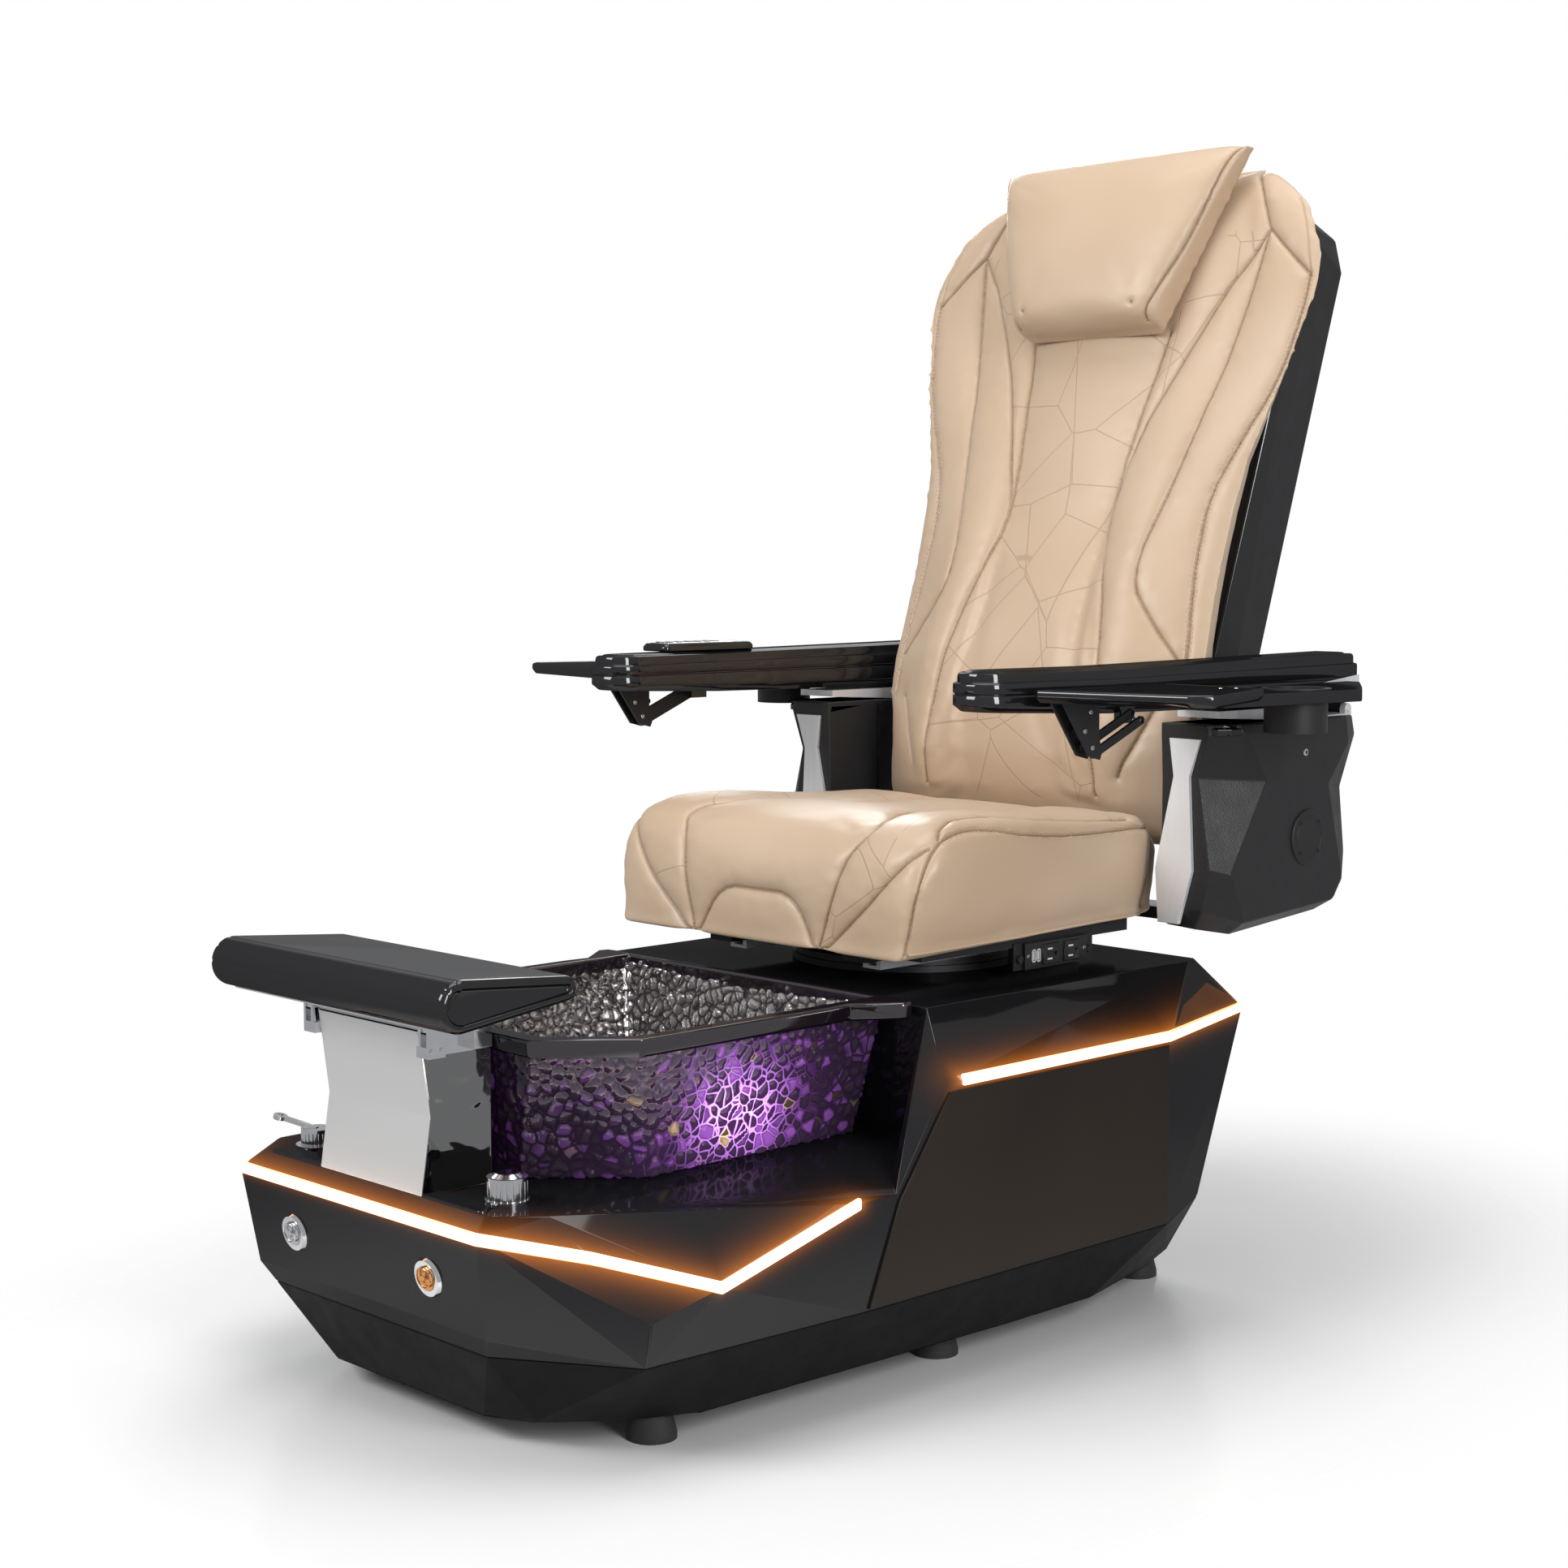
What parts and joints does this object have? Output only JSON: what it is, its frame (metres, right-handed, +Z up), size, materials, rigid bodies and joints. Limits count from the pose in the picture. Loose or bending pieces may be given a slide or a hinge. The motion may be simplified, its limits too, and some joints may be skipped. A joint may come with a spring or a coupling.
{
  "type": "pedicure spa chair",
  "caption": "Pedicure spa chair: lit base with glass foot tub and tilting footrest, and a swivelling, sliding, reclining upholstered seat with lift-up armrests and raising trays.",
  "frame": {"origin": "on the floor, at the middle of the chair's overall length and width", "axes": "+X to the sitter's left, -Y the way the sitter faces (footrest end), +Z up"},
  "size_m": [1.192, 1.5196, 1.5063],
  "materials": {
    "gloss_black": "gloss",
    "satin_black": "satin, fine grain",
    "side_panel": "gloss, slightly brown",
    "light_strip": "translucent, lit",
    "purple_glass": "hammered, tinted",
    "rim_black": "gloss",
    "chrome": "polished",
    "copper": "polished",
    "steel": "brushed",
    "dark_steel": "satin",
    "rubber": "matte",
    "leather": "soft, satin"
  },
  "bodies": {
    "base": {"base_shell": "gloss_black", "base_skirt": "satin_black", "floor_pan": "dark_steel", "side_panels": "side_panel", "front_light_strip": "light_strip", "rear_light_strip": "light_strip", "levelling_feet": "rubber", "tub_bowl": "purple_glass", "tub_rim": "rim_black", "tub_drain": "chrome", "jet_cover": "satin_black", "jet_motor": "dark_steel", "control_box": "satin_black", "button_bezels": "chrome", "valve_bodies": "chrome", "footrest_pedestal": "steel", "footrest_brackets": "chrome", "turntable_base": "dark_steel"},
    "jet_wheel": {"jet_impeller": "chrome"},
    "mixer": {"mixer_lever": "chrome"},
    "diverter": {"diverter_knob": "chrome"},
    "left_push": {"left_button": "copper"},
    "right_push": {"right_button": "chrome"},
    "footrest": {"footrest_pad": "gloss_black", "footrest_hinge": "chrome"},
    "turntable": {"turntable_top": "dark_steel", "slide_rails": "steel", "slide_actuator": "dark_steel"},
    "seat": {"seat_carriage": "dark_steel", "actuator_rod": "chrome", "seat_cushion": "leather", "outlet_bracket": "satin_black", "outlet_module": "satin_black", "left_arm_housing": "satin_black", "right_arm_housing": "satin_black", "housing_strips": "steel", "housing_discs": "satin_black", "arm_posts": "dark_steel", "arm_collars": "satin_black", "rest_plates": "steel"},
    "back": {"back_frame": "dark_steel", "back_shell": "gloss_black", "back_cushion": "leather", "headrest_pillow": "leather"},
    "massage_head": {"massage_carriage": "satin_black"},
    "left_arm": {"left_armrest": "gloss_black", "left_tray": "gloss_black", "left_cup_holder": "satin_black"},
    "left_stay": {"left_upper_link": "dark_steel"},
    "left_stay_follower": {"left_lower_link": "dark_steel"},
    "left_leaf_body": {"left_leaf": "gloss_black", "left_leaf_bracket": "dark_steel"},
    "right_arm": {"right_armrest": "gloss_black", "right_tray": "gloss_black", "right_cup_holder": "satin_black"},
    "right_stay": {"right_upper_link": "dark_steel"},
    "right_stay_follower": {"right_lower_link": "dark_steel"},
    "right_leaf_body": {"right_leaf": "gloss_black", "right_leaf_bracket": "dark_steel"},
    "remote": {"remote_control": "gloss_black"}
  },
  "joints": [
    {"name": "jet_spin", "type": "hinge", "parent": "base", "child": "jet_wheel", "pos_m": [0, -0.15283, 0.332], "axis": [0, 1, 0], "continuous": true},
    {"name": "lever_turn", "type": "hinge", "parent": "base", "child": "mixer", "pos_m": [-0.178, -0.64683, 0.2753], "axis": [0, 0, 1], "range_deg": [-60, 60]},
    {"name": "knob_turn", "type": "hinge", "parent": "base", "child": "diverter", "pos_m": [0.178, -0.64683, 0.2753], "axis": [0, 0, 1], "range_deg": [-135, 135]},
    {"name": "left_button_press", "type": "slide", "parent": "base", "child": "left_push", "axis": [0, 0.9862, 0.1658], "range_m": [0, 0.0025], "stiffness_N_per_m": 400, "springref_m": -0.003},
    {"name": "right_button_press", "type": "slide", "parent": "base", "child": "right_push", "axis": [0, 0.9862, 0.1658], "range_m": [0, 0.0025], "stiffness_N_per_m": 400, "springref_m": -0.003},
    {"name": "footrest_tilt", "type": "hinge", "parent": "base", "child": "footrest", "pos_m": [0, -0.69183, 0.454], "axis": [1, 0, 0], "range_deg": [0, 75]},
    {"name": "seat_swivel", "type": "hinge", "parent": "base", "child": "turntable", "pos_m": [0, 0.15517, 0.44], "axis": [0, 0, 1], "range_deg": [-90, 90]},
    {"name": "seat_slide", "type": "slide", "parent": "turntable", "child": "seat", "axis": [0, -1, 0], "range_m": [-0.05, 0.12]},
    {"name": "back_recline", "type": "hinge", "parent": "seat", "child": "back", "pos_m": [0, 0.43517, 0.54], "axis": [-1, 0, 0], "range_deg": [0, 35]},
    {"name": "massage_travel", "type": "slide", "parent": "back", "child": "massage_head", "axis": [0, 0.284, 0.9588], "range_m": [0, 0.35]},
    {"name": "left_arm_lift", "type": "hinge", "parent": "seat", "child": "left_arm", "pos_m": [0.3435, 0.60117, 0.749], "axis": [-1, 0, 0], "range_deg": [0, 55]},
    {"name": "left_leaf_lift", "type": "hinge", "parent": "left_arm", "child": "left_stay", "pos_m": [0.394, 0.12217, 0.765], "axis": [-1, 0, 0], "range_deg": [0, 56]},
    {"name": "left_leaf_level", "type": "hinge", "parent": "left_stay", "child": "left_leaf_body", "pos_m": [0.394, 0.03417, 0.729], "axis": [-1, 0, 0], "range_deg": [-56, 0]},
    {"name": "left_stay_turn", "type": "hinge", "parent": "left_arm", "child": "left_stay_follower", "pos_m": [0.4, 0.13317, 0.756], "axis": [-1, 0, 0], "range_deg": [0, 56]},
    {"name": "right_arm_lift", "type": "hinge", "parent": "seat", "child": "right_arm", "pos_m": [-0.3435, 0.60117, 0.749], "axis": [-1, 0, 0], "range_deg": [0, 55]},
    {"name": "right_leaf_lift", "type": "hinge", "parent": "right_arm", "child": "right_stay", "pos_m": [-0.394, 0.12217, 0.765], "axis": [-1, 0, 0], "range_deg": [0, 56]},
    {"name": "right_leaf_level", "type": "hinge", "parent": "right_stay", "child": "right_leaf_body", "pos_m": [-0.394, 0.03417, 0.729], "axis": [-1, 0, 0], "range_deg": [-56, 0]},
    {"name": "right_stay_turn", "type": "hinge", "parent": "right_arm", "child": "right_stay_follower", "pos_m": [-0.4, 0.13317, 0.756], "axis": [-1, 0, 0], "range_deg": [0, 56]},
    {"name": "remote_lift", "type": "slide", "parent": "right_arm", "child": "remote", "axis": [0, 0, 1], "range_m": [0, 0.08]}
  ],
  "couplings": [
    {"joint": "left_leaf_level", "follows": "left_leaf_lift", "ratio": -1},
    {"joint": "left_stay_turn", "follows": "left_leaf_lift", "ratio": 1},
    {"joint": "right_leaf_level", "follows": "right_leaf_lift", "ratio": -1},
    {"joint": "right_stay_turn", "follows": "right_leaf_lift", "ratio": 1}
  ]
}
